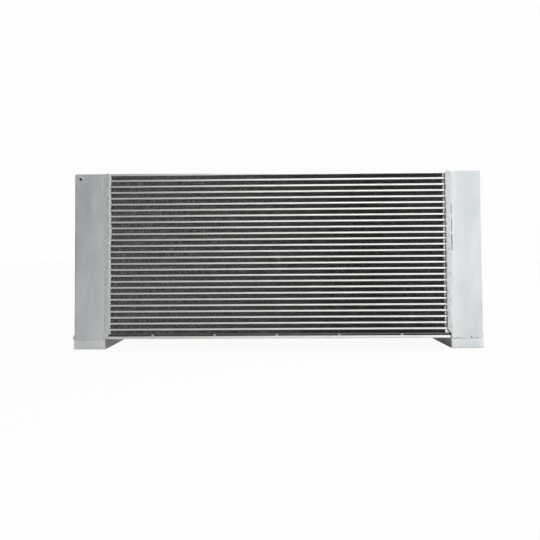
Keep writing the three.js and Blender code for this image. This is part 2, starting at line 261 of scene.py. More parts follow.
def noise_grid(rows, columns, feature_rows, feature_columns, seed):
    """The same as a height field of rows by columns."""
    shape = knot_count(rows, feature_rows), knot_count(columns, feature_columns)
    values = np.random.default_rng(seed).uniform(-1, 1, shape)
    return eased(eased(values, rows).T, columns).T


def cut(piece, *tools):
    """Cuts closed tool meshes out of a piece and removes the tools."""
    for tool in tools:
        modifier = piece.modifiers.new("cut", "BOOLEAN")
        modifier.operation = "DIFFERENCE"
        modifier.solver = "EXACT"
        modifier.object = tool
        bpy.context.view_layer.update()
        graph = bpy.context.evaluated_depsgraph_get()
        result = bpy.data.meshes.new_from_object(piece.evaluated_get(graph))
        piece.modifiers.clear()
        piece.data = result
        bpy.data.objects.remove(tool)
    shade(piece.data)


def new_mesh(name, bm):
    mesh = bpy.data.meshes.new(name)
    bm.to_mesh(mesh)
    bm.free()
    return mesh


def tool_rod(radius, low, high, sides=64):
    """A round cutting tool between two points along one axis."""
    low, high = Vector(low), Vector(high)
    axis = high - low
    matrix = Matrix.Translation((low + high) / 2) @ axis.to_track_quat("Z", "Y").to_matrix().to_4x4()
    bm = bmesh.new()
    bmesh.ops.create_cone(
        bm, cap_ends=True, segments=sides, radius1=radius, radius2=radius, depth=axis.length, matrix=matrix
    )
    return new_object("tool", new_mesh("tool", bm))


def tool_prism(section, start, end, place):
    """A cutting tool swept from a section."""
    return new_object("tool", solid_mesh("tool", capped([prism(section, start, end, place)])))


def bevel(piece, width, segments=2):
    modifier = piece.modifiers.new("bevel", "BEVEL")
    modifier.width = width
    modifier.segments = segments
    modifier.limit_method = "ANGLE"
    modifier.angle_limit = math.radians(40)
    modifier.harden_normals = True


def box_centre(node):
    return [(a + b) / 2 for a, b in zip(*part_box(node))]


def opening_centre(name):
    box = next(o["box_m"] for o in frame["record"]["physics"]["openings"] if o["name"] == name)
    return [(a + b) / 2 for a, b in zip(*box)]


# ---- Materials ----


class Nodes:
    """A node tree. Each method adds nodes and returns the socket that the next one reads."""

    def __init__(self, tree):
        self.tree = tree

    def add(self, kind, output, inputs=None, **settings):
        node = self.tree.nodes.new("ShaderNode" + kind)
        for name, value in settings.items():
            setattr(node, name, value)
        for name, value in (inputs or {}).items():
            self.set(node.inputs[name], value)
        return node.outputs[output] if output else node

    def set(self, socket, value):
        """Links a socket, or sets its own value. A colour may come without its alpha."""
        if isinstance(value, bpy.types.NodeSocket):
            self.tree.links.new(value, socket)
        elif socket.type == "RGBA":
            socket.default_value = (*value, 1)
        else:
            socket.default_value = value

    def spread(self, source, low, high, to_low, to_high):
        ends = {"From Min": low, "From Max": high, "To Min": to_low, "To Max": to_high}
        return self.add("MapRange", "Result", {"Value": source, **ends})

    def math(self, operation, *values):
        return self.add("Math", "Value", dict(enumerate(values)), operation=operation)

    def blend(self, factor, first, second):
        """A colour that goes from first to second as factor rises. Each is a socket or three numbers."""
        return self.add("Mix", "Result", {"Factor": factor, "A": first, "B": second}, data_type="RGBA")


class Finish(Nodes):
    """One procedural metal or rubber, placed by the object's own coordinates."""

    def __init__(self, name, colour, metallic, roughness):
        self.material = bpy.data.materials.new(name)
        self.material.use_nodes = True
        super().__init__(self.material.node_tree)
        self.shader = self.tree.nodes["Principled BSDF"]
        for socket, value in (("Base Color", colour), ("Metallic", metallic), ("Roughness", roughness)):
            self.set(self.shader.inputs[socket], value)
        self.place = self.add("TexCoord", "Object")
        self.relief = None

    def noise(self, size, stretch=(1, 1, 1), detail=3, roughness=0.55):
        """Noise with features about size metres across, longer where stretch is under 1."""
        place = self.add("Mapping", "Vector", {"Vector": self.place, "Scale": stretch})
        look = {"Scale": 1 / size, "Detail": detail, "Roughness": roughness}
        return self.add("TexNoise", "Fac", {"Vector": place, **look})

    def axis(self, name):
        return self.add("SeparateXYZ", name, {"Vector": self.place})

    def tint(self, source, low, high, first, second, share=1):
        """Goes from first to second, or a share of the way, as source rises from low to high."""
        return self.blend(self.spread(source, low, high, 0, share), first, second)

    def colour(self, source):
        self.set(self.shader.inputs["Base Color"], source)

    def rough(self, source, low, high, to_low, to_high):
        self.set(self.shader.inputs["Roughness"], self.spread(source, low, high, to_low, to_high))

    def bump(self, source, height, strength=0.5):
        """Adds relief about height metres deep on top of what is there."""
        inputs = {"Distance": height, "Strength": strength, "Height": source}
        if self.relief:
            inputs["Normal"] = self.relief
        self.relief = self.add("Bump", "Normal", inputs)
        self.set(self.shader.inputs["Normal"], self.relief)


def two_tone(name, plain, stain, stain_range, tones, grain, gloss, height, strength=0.5):
    """A finish with a stain in its colour and a grain in its gloss and relief, both given as noise settings."""
    f = Finish(name, *plain)
    grain = f.noise(**grain)
    f.colour(f.tint(f.noise(**stain), *stain_range, *tones))
    f.rough(grain, 0.3, 0.7, *gloss)
    f.bump(grain, height, strength)
    return f.material


def tank_sheet(name, tone=1.0):
    """Mill-finish sheet: cloudy mottle, rolling lines and specks, wire-brushed beside the seam. A tone above 1 gives a
    brighter copy, as painted light.
    """
    f = Finish(name, (0.8, 0.81, 0.82), 1.0, 0.5)
    bright, dim, dull, brush = (
        tuple(tone * c for c in colour)
        for colour in ((0.735, 0.755, 0.775), (0.82, 0.833, 0.842), (0.655, 0.68, 0.708), (0.8, 0.815, 0.825))
    )
    cloud = f.noise(0.045, (1, 1, 0.45), 4, 0.6)
    rolled = f.noise(0.0016, (1, 1, 0.03))
    seam = CORE_END + 2 * MM
    from_seam = f.math("ABSOLUTE", f.math("SUBTRACT", f.math("ABSOLUTE", f.axis("X")), seam))
    brushed = f.math("MULTIPLY", f.spread(from_seam, 0.008, 0.017, 1, 0), f.noise(0.0012, (0.12, 1, 1), 4))
    base = f.tint(cloud, 0.3, 0.7, bright, dim)
    base = f.tint(f.noise(0.06, (1.3, 1, 0.4)), 0.36, 0.64, base, dull, 0.85)
    base = f.tint(f.noise(0.0022, detail=5, roughness=0.7), 0.66, 0.74, base, (0.6, 0.61, 0.61), 0.35)
    f.colour(f.blend(brushed, base, brush))
    f.rough(f.math("ADD", cloud, f.math("MULTIPLY", rolled, 0.5)), 0.4, 1.1, 0.45, 0.63)
    f.bump(rolled, 0.00004, 0.35)
    f.bump(f.noise(0.02, (1, 1, 0.6), 2), 0.0004, 0.3)
    f.bump(brushed, 0.00015, 0.7)
    return f.material


def core_bar():
    """Brazed bar stock: pale, a little grainy, with flux stains and drawn lines along X."""
    f = Finish("core_bar", (0.84, 0.845, 0.84), 1.0, 0.42)
    grain = f.noise(0.0012, (0.08, 1, 1))
    stain = f.noise(0.02, (0.35, 1, 1), 4, 0.65)
    pit = f.noise(0.0011, detail=4, roughness=0.7)
    base = f.tint(stain, 0.42, 0.66, (0.95, 0.96, 0.945), (0.83, 0.845, 0.83))
    f.colour(f.tint(pit, 0.68, 0.76, base, (0.45, 0.45, 0.44), 0.5))
    f.rough(f.math("ADD", grain, stain), 0.7, 1.3, 0.3, 0.44)
    f.bump(grain, 0.00006)
    f.bump(pit, 0.00008, 0.4)
    return f.material


def header_bar():
    """Header bar stock. The noses at the left end are painted near-black, as painted shade of the hollow beside them.
    """
    f = Finish("header_bar", (0.86, 0.865, 0.86), 1.0, 0.4)
    grain = f.noise(0.0012, (1, 0.08, 1))
    stain = f.noise(0.009, detail=4, roughness=0.65)
    x = f.axis("X")
    inner = HEADER_BAR - CORE_END
    # Painted shade: a mask on the noses at the left end only, which the lines below darken to near-black.
    nose = f.math("MULTIPLY", f.spread(x, inner - 1.5 * MM, inner + 0.5 * MM, 0, 1), f.spread(x, 0, 0.1, 1, 0))
    base = f.tint(stain, 0.42, 0.66, (0.9, 0.905, 0.9), (0.74, 0.745, 0.74))
    flux = f.math("MULTIPLY", nose, f.spread(stain, 0.3, 0.5, 0.85, 1))
    f.colour(f.blend(flux, base, (0.06, 0.06, 0.062)))
    f.rough(grain, 0.3, 0.7, 0.32, 0.5)
    f.bump(grain, 0.00006)
    return f.material


def fin_foil():
    """Thin fin foil: a duller metal with a faint oxide tint, and streaks where it buckles."""
    f = Finish("fin_foil", (0.3, 0.31, 0.32), 0.2, 0.5)
    fleck = f.noise(0.0015)
    streak = f.noise(0.0023, (1, 0.25, 0.3), 2)
    base = f.tint(f.noise(0.03), 0.35, 0.65, (0.285, 0.289, 0.28), (0.235, 0.238, 0.228))
    base = f.blend(f.spread(streak, 0.3, 0.7, 0.75, 0), base, (0.09, 0.092, 0.09))
    f.colour(f.tint(streak, 0.5, 0.75, base, (0.5, 0.51, 0.51), 0.8))
    f.rough(fleck, 0.3, 0.7, 0.42, 0.6)
    f.bump(fleck, 0.00005)
    return f.material


def weld_metal():
    """Weld metal: bright on the crests, with fine frost, spatter and a little smoke stain."""
    f = Finish("weld_metal", (0.85, 0.85, 0.84), 1.0, 0.38)
    frost = f.noise(0.0009, detail=4, roughness=0.65)
    spatter = f.noise(0.0034, detail=4, roughness=0.7)
    base = f.tint(frost, 0.35, 0.65, (0.66, 0.672, 0.675), (0.81, 0.818, 0.815))
    base = f.tint(spatter, 0.5, 0.66, base, (0.52, 0.515, 0.5), 0.7)
    f.colour(f.tint(f.noise(0.008, detail=4, roughness=0.6), 0.58, 0.74, base, (0.42, 0.41, 0.39), 0.7))
    f.rough(frost, 0.3, 0.7, 0.5, 0.75)
    f.bump(frost, 0.00012, 0.6)
    f.bump(spatter, 0.0006, 0.7)
    return f.material


def machined():
    """A milled face: tight tool marks and a clean reflection."""
    f = Finish("machined", (0.83, 0.835, 0.84), 1.0, 0.28)
    marks = {"Vector": f.place, "Scale": 700, "Distortion": 0.6}
    wave = f.add("TexWave", "Fac", marks, wave_type="RINGS", rings_direction="Y")
    haze = f.noise(0.01)
    f.colour(f.tint(haze, 0.35, 0.65, (0.8, 0.805, 0.81), (0.87, 0.87, 0.87)))
    f.rough(haze, 0.3, 0.7, 0.22, 0.38)
    f.bump(wave, 0.00002, 0.35)
    return f.material


TANK_METAL = tank_sheet("tank_sheet")
# Painted light: the feet use the tank sheet 13 % brighter, as if they caught more light.
FOOT_METAL_PAINTED_LIGHT = tank_sheet("foot_sheet_painted_light", 1.13)
BAR_METAL = core_bar()
HEADER_METAL = header_bar()
FIN_METAL = fin_foil()
WELD_METAL = weld_metal()
MACHINED = machined()

# Braze-clad sheet: duller than the bars, with dark flux left along it
SHEET_METAL = two_tone(
    "parting_sheet", ((0.45, 0.45, 0.445), 1.0, 0.5),
    {"size": 0.006, "stretch": (0.3, 1, 1), "detail": 4, "roughness": 0.65}, (0.35, 0.68),
    ((0.5, 0.505, 0.5), (0.3, 0.3, 0.295)), {"size": 0.0012, "stretch": (0.08, 1, 1)}, (0.42, 0.6), 0.00005
)
# The bar under the core, the slag and the boss's thread: dark and matt. In the boss's thread the dark is painted shade
# of its deep hole.
DULL_METAL = two_tone(
    "dull_bar", ((0.3, 0.3, 0.3), 1.0, 0.55),
    {"size": 0.03, "stretch": (0.3, 1, 1), "detail": 4, "roughness": 0.65}, (0.35, 0.7),
    ((0.2, 0.2, 0.195), (0.13, 0.13, 0.128)), {"size": 0.001, "stretch": (0.06, 1, 1)}, (0.45, 0.62), 0.00006
)
# Near-black, as painted shade: the lining of the boss hole and the strips in the grooves beside the right front seam
crumbs = {"size": 0.0008, "detail": 4}
PAINTED_SHADE_BLACK = two_tone(
    "painted_shade_black", ((0.03, 0.03, 0.03), 0.0, 0.7), crumbs, (0.35, 0.7),
    ((0.025, 0.025, 0.026), (0.09, 0.088, 0.085)), crumbs, (0.55, 0.8), 0.0001
)
# Zinc-plated steel: cool grey with a faint warm bloom in patches
ZINC = two_tone(
    "zinc_plate", ((0.62, 0.64, 0.66), 1.0, 0.3), {"size": 0.006}, (0.4, 0.65),
    ((0.6, 0.63, 0.68), (0.66, 0.64, 0.58)), {"size": 0.0008, "stretch": (1, 0.3, 1)}, (0.24, 0.4), 0.00003
)
# Nitrile rubber, faintly dusty
dust = {"size": 0.003, "detail": 4}
RUBBER = two_tone(
    "seal_rubber", ((0.02, 0.02, 0.021), 0.0, 0.62), dust, (0.45, 0.75),
    ((0.018, 0.018, 0.019), (0.06, 0.058, 0.055)), dust, (0.55, 0.75), 0.00005, 0.4
)


# ---- Core ----


def fin_strip(name, floor_z, ceiling_z, seed, stands_for):
    """A corrugated strip of foil, folded in X and bent to a herringbone in Y, between two levels."""
    reach = CORE_END - HEADER_BAR - HEADER_NOSE - FIN_GAP_AT_ENDS
    widths = 1 + FIN_WIDTH_SPREAD * np.random.default_rng(seed).standard_normal(FIN_WAVES)
    starts = np.concatenate([[0], np.cumsum(widths)])
    across = (starts[:-1, None] + FIN_FOLD[:, 0] * widths[:, None]).ravel()
    x = -reach + 2 * reach * across / starts[-1]
    z = floor_z + FIN_FOIL / 2 + (ceiling_z - floor_z - FIN_FOIL) * np.tile(FIN_FOLD[:, 1], FIN_WAVES)
    line = np.column_stack([x, z])
    tangent = np.gradient(line, axis=0)
    normal = np.column_stack([-tangent[:, 1], tangent[:, 0]])
    normal /= np.linalg.norm(normal, axis=1)[:, None]
    upper, lower = [], []
    front, rear = FRONT + FIN_SETBACK, REAR - FIN_SETBACK
    for k in range(HERRINGBONE_STEPS + 1):
        y = np.full(len(x), front + (rear - front) * (k / HERRINGBONE_STEPS))
        if k in (0, HERRINGBONE_STEPS):
            y = y + 0.25 * MM * smooth_noise(len(x), 9, seed + 7 + k)
        swing = HERRINGBONE_SWING * (1 if k % 2 else -1)
        for side, rows in ((1, upper), (-1, lower)):
            p = line + (swing, 0) + side * normal * FIN_FOIL / 2
            rows.append(np.column_stack([p[:, 0], y, p[:, 1]]))
    solid = shell(np.array(upper), np.array(lower))
    make_piece(name, solid, FIN_METAL, stands_for, 60)


def header_bars(name, floor_z, ceiling_z, seed, stands_for):
    """The two bars that close the ends of an air row, each with a rounded nose towards the fins."""
    r = np.random.default_rng(seed)
    inner = CORE_END - HEADER_BAR
    half = (ceiling_z - floor_z) / 2
    parts = []
    for side in (-1, 1):
        nose = HEADER_NOSE * r.uniform(0.85, 1.1)
        middle = (floor_z + ceiling_z) / 2 + 0.4 * MM * r.uniform(-1, 1)
        section = [(CORE_END, floor_z), (CORE_END, ceiling_z), (inner, ceiling_z)]
        for t in np.radians((55, 28, 0, -28, -55)):
            section.append((inner - nose * math.cos(t), middle + 0.8 * half * math.sin(t)))
        section.append((inner, floor_z))
        section = [(x * side, z) for x, z in section]
        front = FRONT + HEADER_SETBACK + 0.3 * MM * r.uniform(0, 1)
        parts.append(prism(section, front, REAR - HEADER_SETBACK, along_y, 0.5 * MM))
    make_piece(name, capped(parts), HEADER_METAL, stands_for)


def closing_bars(name, floor_z, seed, stands_for):
    """The two closing bars of an oil tube, slightly domed at the face."""
    r = np.random.default_rng(seed)
    steps = 48
    edge_step, edge_gap = 0.35 * MM, 0.02 * MM
    dome, dome_angle, dome_half = 0.56 * MM, math.radians(50), 1.42 * MM
    low, high = floor_z + SHEET, floor_z + TUBE_HEIGHT - SHEET
    parts = []
    for edge, face, inward in ((0, FRONT, 1), (1, REAR, -1)):
        back = face + inward * CLOSING_BAR
        proud = 0.12 * MM * r.uniform(-0.5, 1)
        section = [(face + inward * edge_step, low + edge_gap)]
        for t in np.linspace(-dome_angle, dome_angle, 5):
            y = face - inward * proud + inward * dome * (1 - math.cos(t))
            section.append((y, (low + high) / 2 + dome_half * math.sin(t) / math.sin(dome_angle)))
        section += [(face + inward * edge_step, high - edge_gap), (back, high), (back, low)]
        sway = swaying(smooth_noise(steps + 1, 6, seed * 5 + edge), -CORE_END, CORE_END, (0.12 * MM, 0))
        parts.append(prism(section, -CORE_END, CORE_END, along_x, steps=steps, wobble=sway))
    make_piece(name, capped(parts), BAR_METAL, stands_for)


def oil_passage(name, floor_z, stands_for):
    """The two parting sheets of an oil tube and the folded strip between them, with its folds along the flow."""
    gap = 0.15 * MM
    at = np.concatenate([OIL_FOLD + [k, 0] for k in range(OIL_FOLDS)])
    inner = (FRONT + CLOSING_BAR, REAR - CLOSING_BAR)
    y = inner[0] + (inner[1] - inner[0]) * (at[:, 0] + 0.075) / OIL_FOLDS
    low, high = floor_z + SHEET + gap, floor_z + TUBE_HEIGHT - SHEET - gap
    z = low + (high - low) * at[:, 1]
    ends = [-CORE_END + MM, CORE_END - MM]
    upper, lower = (
        np.array([np.column_stack([np.full(len(y), x), y, z + side * OIL_FOIL / 2]) for x in ends])
        for side in (1, -1)
    )
    sheets = []
    for sheet_low in (floor_z, floor_z + TUBE_HEIGHT - SHEET):
        section = rounded_box_section(FRONT + gap, REAR - gap, sheet_low, sheet_low + SHEET, 0.25 * MM)
        sheets.append(prism(section, -CORE_END, CORE_END, along_x))
    verts, faces = capped(sheets)
    strip_verts, strip_faces = shell(upper, lower)
    faces += (strip_faces + len(verts)).tolist()
    verts += list(strip_verts)
    make_piece(name, (verts, faces), SHEET_METAL, stands_for)


def make_core():
    row_floor = ROW_LOW.z + SHEET
    section = rounded_box_section(FRONT + 0.12 * MM, REAR - 0.12 * MM, ROW_LOW.z, row_floor, 0.2 * MM)
    sheet = capped([prism(section, -CORE_END, CORE_END, along_x)])
    make_piece("bottom_parting_sheet", sheet, SHEET_METAL, ["bottom_air_row"])
    fin_strip("air_fin_01", row_floor, LAYER_LOW.z, 100, ["bottom_air_row"])
    header_bars("header_bars_01", row_floor, LAYER_LOW.z, 300, ["bottom_air_row"])
    for i, node in enumerate(LAYERS):
        floor_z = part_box(node)[0].z
        number = node.rsplit("_", 1)[1]
        above = f"{int(number) + 1:02d}"
        row = floor_z + TUBE_HEIGHT, floor_z + PITCH
        closing_bars(f"closing_bars_{number}", floor_z, 500 + i, [node])
        oil_passage(f"oil_passage_{number}", floor_z, [node])
        fin_strip(f"air_fin_{above}", *row, 101 + i, [node])
        header_bars(f"header_bars_{above}", *row, 301 + i, [node])


# ---- Plates ----


def plate(name, node, material, seed, dent=0.12 * MM):
    """A long flat bar with filed edges, slightly wavy along its length."""
    low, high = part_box(node)
    sway = swaying(smooth_noise(61, 9, seed), low.x, high.x, (0, dent))
    section = rounded_box_section(low.y, high.y, low.z, high.z, 0.6 * MM)
    bar = capped([prism(section, low.x, high.x, along_x, 0.4 * MM, 60, sway)])
    make_piece(name, bar, material, [node])


def make_plates():
    plate("top_plate", "top_side_plate", BAR_METAL, 41)
    plate("bottom_plate", "bottom_side_plate", DULL_METAL, 42)
    plate("rail", "base_rail", BAR_METAL, 43, 0.08 * MM)
    low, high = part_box("base_rail")
    parts = []
    for y0, y1 in ((low.y, low.y + 4 * MM), (high.y - 4 * MM, high.y)):
        lip = rounded_box_section(y0, y1, high.z - MM, high.z + RAIL_LIP, 0.5 * MM)
        parts.append(prism(lip, low.x + 0.5 * MM, high.x - 0.5 * MM, along_x, 0.4 * MM))
    make_piece("rail_lips", capped(parts), BAR_METAL, ["base_rail"])


# ---- Tanks ----


def tank_profile():
    """Outline and outward directions of the right tank's channel, from its front edge round to the back."""
    edge = CORE_END + 2.0 * MM
    outer, radius = TANK_HIGH.x, TANK_RADIUS
    points, normals = [], []

    def run(start, end, count, normal):
        points.extend(np.linspace(start, end, count, endpoint=False))
        normals.extend([normal] * count)

    def bend(centre, start_degrees):
        for a in np.radians(start_degrees + np.linspace(0, 90, 10, endpoint=False)):
            normals.append((math.cos(a), math.sin(a)))
            points.append(np.add(centre, np.multiply(radius, normals[-1])))

    stops = (edge, UNDERCUT_X - 2 * MM, UNDERCUT_X + 2 * MM, outer - radius)
    for start, end, count in zip(stops, stops[1:], (2, 10, 14)):
        run((start, FRONT), (end, FRONT), count, (0, -1))
    bend((outer - radius, FRONT + radius), -90)
    run((outer, FRONT + radius), (outer, REAR - radius), 18, (1, 0))
    bend((outer - radius, REAR - radius), 0)
    run((outer - radius, REAR), (edge, REAR), 14, (0, 1))
    points.append((edge, REAR))
    normals.append((0, 1))
    return np.array(points), np.array(normals)


def undercut(points, levels):
    """Depth of the ragged groove that the weld melted along part of the right front seam."""
    across = np.exp(-(((points[:, 0] - UNDERCUT_X) / (0.7 * MM)) ** 2)) * (points[:, 1] < FRONT + MM)
    ragged = 0.75 + 0.25 * smooth_noise(len(levels), 2, 88)
    return np.outer(UNDERCUT_DEPTH * np.interp(levels, UNDERCUT_LEVELS, UNDERCUT_SHARES) * ragged, across)


def tank_channel(word, side, holes):
    """A tank's folded channel, softly dented, with holes for its fittings."""
    points, normals = tank_profile()
    levels = np.linspace(TANK_LOW.z, TANK_HIGH.z, 141)
    dents = noise_grid(len(levels), len(points), 24, 9, 900 + side)
    dents += 0.5 * noise_grid(len(levels), len(points), 10, 5, 910 + side)
    ends = np.minimum(levels - levels[0], levels[-1] - levels)
    depth = 0.22 * MM * dents * np.clip(ends / (18 * MM), 0, 1)[:, None]
    if side > 0:
        depth -= undercut(points, levels)
    outer, inner = [], []
    for row, z in enumerate(levels):
        for grid, inset in ((outer, 0.0), (inner, TANK_WALL)):
            p = points + normals * (depth[row][:, None] - inset)
            grid.append(np.column_stack([p[:, 0] * side, p[:, 1], np.full(len(p), z)]))
    solid = shell(np.array(outer), np.array(inner))
    tank = make_piece(f"{word}_tank_shell", solid, TANK_METAL, [f"{word}_tank"])
    cut(tank, *(tool_rod(radius, (x, y - 12 * MM, z), (x, y + 12 * MM, z)) for x, y, z, radius in holes))
    bevel(tank, 0.5 * MM)


def end_cap(word, which):
    """The plate that closes a tank's end, a hair below the edges of the folded channel."""
    node = f"{word}_{which}_cap"
    low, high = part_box(node)
    sink = -0.3 * MM if which == "top" else 0.3 * MM
    section = rounded_box_section(low.x, high.x, low.y, high.y, 1.4 * MM)
    solid = capped([prism(section, low.z + sink, high.z + sink, along_z)])
    bevel(make_piece(f"{node}_plate", solid, TANK_METAL, [node]), 0.4 * MM)


# ---- Feet ----


def foot(word, side):
    """A foot folded from sheet, open outwards, with two slots in its floor."""
    node = f"{word}_foot"
    low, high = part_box(node)
    wall = TANK_WALL
    section = rounded_box_section(low.y, high.y, low.z, high.z + 6 * MM, 3 * MM, 5)
    near, far = sorted((abs(low.x), abs(high.x)))
    solid = capped([prism(section, near * side, far * side, along_x)])
    tray = make_piece(f"{node}_tray", solid, FOOT_METAL_PAINTED_LIGHT, [node])
    inner = rounded_box_section(low.y + wall, high.y - wall, low.z + wall, high.z + 20 * MM, 1.5 * MM, 4)
    lid = rounded_box_section(low.y - wall, high.y + wall, high.z, high.z + 30 * MM, MM)
    tools = [
        tool_prism(inner, (near + wall) * side, (far + wall) * side, along_x),
        tool_prism(lid, (near - wall) * side, (far + wall) * side, along_x),
    ]
    for opening in frame["record"]["physics"]["openings"]:
        if opening["name"].startswith(word) and opening["name"].endswith("_slot"):
            tools.append(slot_tool(*opening_centre(opening["name"])[:2]))
    if side > 0:
        tools.append(corner_tool(near, low.y, low.z, high.z))
    cut(tray, *tools)
    bevel(tray, 0.3 * MM)


def corner_tool(x, y, low_z, high_z):
    """A tool that grinds a foot's upright front corner at x, y to a shallow slope."""
    ring = [(x - MM, y - MM), (x - MM, y + GROUND_DEPTH), (x, y + GROUND_DEPTH)]
    ring += [(x + GROUND_WIDTH, y), (x + GROUND_WIDTH, y - MM)]
    return tool_prism(ring, low_z - MM, high_z + MM, along_z)


def slot_tool(x, y):
    """A round-ended tool for an M12 slot that lies along X."""
    half_length, radius = 12 * MM, 6.75 * MM
    ring = []
    for centre, start in ((half_length - radius, -90), (radius - half_length, 90)):
        for k in range(17):
            a = math.radians(start + 180 * k / 16)
            ring.append((x + centre + radius * math.cos(a), y + radius * math.sin(a)))
    return tool_prism(ring, -10 * MM, 12 * MM, along_z)


# ---- Ports, bungs and plugs ----


def fitting(name, profile, centre, material, node, sides=64, sharp_degrees=25):
    """A turned piece with a closed profile of (radius, y) points round an axis along Y through centre."""
    radius, y = np.array(profile, float).T
    turn = np.linspace(0, 2 * math.pi, sides, endpoint=False)
    rings = np.stack([np.outer(np.cos(turn), radius), np.tile(y, (sides, 1)), np.outer(np.sin(turn), radius)], axis=-1)
    index = np.arange(sides * len(y)).reshape(sides, len(y))
    after, up = np.roll(index, -1, axis=0), np.roll(index, -1, axis=1)
    quads = np.stack([index, up, np.roll(after, -1, axis=1), after], axis=-1).reshape(-1, 4)
    make_piece(name, ((rings + centre).reshape(-1, 3), quads), material, [node], sharp_degrees)


def flange_port(word):
    """A milled four-bolt pad with a bored spigot through the tank wall."""
    node = f"{word}_port"
    low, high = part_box(node)
    x, _, z = opening_centre(f"{word}_bore")
    bolts = [opening_centre(f"{word}_bolt_hole_{k}") for k in range(1, 5)]
    section = rounded_box_section(low.x, high.x, low.z, high.z, 10 * MM, 8)
    solid = capped([prism(section, REAR + 0.3 * MM, high.y, along_y)])
    pad = make_piece(f"{node}_pad", solid, MACHINED, [node])
    clear = high.y + 10 * MM
    tools = [tool_rod(PORT_BORE, (x, REAR - 10 * MM, z), (x, clear, z), 96)]
    tools += [tool_rod(BOLT_CORE, (cx, high.y - 16 * MM, cz), (cx, clear, cz), 40) for cx, _, cz in bolts]
    cut(pad, *tools)
    bevel(pad, 0.8 * MM, 3)
    outer = 21 * MM
    spigot = [(PORT_BORE, low.y), (outer, low.y), (outer, REAR + MM), (PORT_BORE, REAR + MM)]
    fitting(f"{node}_spigot", spigot, (x, 0, z), MACHINED, node, 96, 35)
    for k, (cx, _, cz) in enumerate(bolts, 1):
        thread(f"{node}_thread_{k}", (cx, high.y, cz), BOLT_CORE, 1.5 * MM, 14 * MM, node)
    path = rounded_path(section, REAR + 0.8 * MM, 0.8 * MM)
    weld_bead(f"{node}_weld", path, 7 * MM, 3 * MM, 3 * MM, 71, closed=True)


def thread(name, mouth, core_radius, pitch, depth, node, inward=-1, material=None):
    """A thin sleeve with ring grooves that lines a tapped hole. mouth is the middle of its open end."""
    count = int(depth / pitch)
    start = 0.9 * MM
    crest, root, outside = core_radius - 0.02 * MM, core_radius - 0.45 * MM, core_radius + 0.1 * MM
    profile = []
    for k in range(count):
        y = start + k * pitch
        profile += [(crest, y), (crest, y + 0.12 * pitch), (root, y + 0.5 * pitch)]
    profile += [(outside, start + count * pitch), (outside, start)]
    profile = [(r, inward * y) for r, y in profile]
    fitting(name, profile, mouth, material or MACHINED, node, 40, 35)


def round_node(node):
    """The axis point, radius, front end and back end of a round node that lies along Y."""
    low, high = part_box(node)
    x, _, z = box_centre(node)
    return (x, 0, z), (high.x - low.x) / 2, low.y, high.y


def bung(word):
    """A threaded boss that's welded into the tank's back wall."""
    node = f"{word}_bung"
    axis, radius, front, rear = round_node(node)
    neck, wall, chamfer, mouth = 10 * MM, REAR + 0.3 * MM, 1.2 * MM, 0.6 * MM
    profile = [(PLUG_THREAD, front), (neck, front), (neck, wall), (radius, wall), (radius, rear - chamfer)]
    profile += [(radius - 0.3 * chamfer, rear - 0.3 * chamfer), (radius - chamfer, rear)]
    profile += [(PLUG_THREAD + mouth, rear), (PLUG_THREAD, rear - mouth)]
    fitting(f"{node}_body", profile, axis, MACHINED, node)
    ring = circle_path(axis, radius + 0.6 * MM, REAR + 0.6 * MM)
    weld_bead(f"{word}_bung_weld", ring, 5.5 * MM, 2.6 * MM, 2.6 * MM, 61, closed=True)


def washer(word):
    """A bonded seal: a steel ring with a rubber lip inside."""
    node = f"{word}_washer"
    axis, radius, front, rear = round_node(node)
    edge, split = 0.25 * MM, radius - 2.4 * MM
    ring = [(split, front), (radius - edge, front), (radius, front + edge)]
    ring += [(radius, rear - edge), (radius - edge, rear), (split, rear)]
    fitting(f"{node}_ring", ring, axis, ZINC, node)
    crown, proud = PLUG_THREAD + 0.5 * MM, 0.1 * MM
    lip = [(PLUG_THREAD, (front + rear) / 2), (crown, front - proud), (split, front + edge)]
    lip += [(split, rear - edge), (crown, rear + proud)]
    fitting(f"{node}_lip", lip, axis, RUBBER, node)


def plug(word):
    """A hexagon plug with a collar. The head's corners are chamfered as on a turned bar."""
    node = f"{word}_plug"
    axis, _, front, crown = round_node(node)
    flats, sides = 9.5 * MM, 96
    seat = round_node(f"{word}_washer")[3] + 0.3 * MM
    turn = np.linspace(0, 2 * math.pi, sides, endpoint=False)
    hexagon = flats / np.cos((turn % (math.pi / 3)) - math.pi / 6)
    corner = hexagon.max()
    dish = flats - 1.2 * MM
    levels = [
        (seat + 1.5 * MM, hexagon),
        (crown - 1.4 * MM, hexagon),
        (crown - 0.9 * MM, np.minimum(hexagon, corner - 0.6 * MM)),
        (crown, np.minimum(hexagon, corner - 1.92 * MM)),
        (crown, dish),
        (crown - 0.5 * MM, dish - 0.8 * MM),
    ]
    round_y = np.column_stack([np.cos(turn), np.zeros(sides), np.sin(turn)])
    verts = np.concatenate([(axis[0], y, axis[2]) + np.reshape(r, (-1, 1)) * round_y for y, r in levels])
    index, walls = ring_quads(len(levels), sides)
    head = capped([(verts, walls, index[0][::-1], index[-1])])
    make_piece(f"{node}_head", head, ZINC, [node], 25)
    core, shank, collar, edge = 0.4 * MM, 7 * MM, 11 * MM, 0.2 * MM
    profile = [(core, front), (shank - MM, front), (shank, front + MM), (shank, seat)]
    profile += [(collar - edge, seat), (collar, seat + edge), (collar, seat + 1.2 * MM)]
    profile += [(collar - 2 * edge, seat + 1.6 * MM), (core, seat + 1.6 * MM)]
    fitting(f"{node}_shank", profile, axis, ZINC, node)


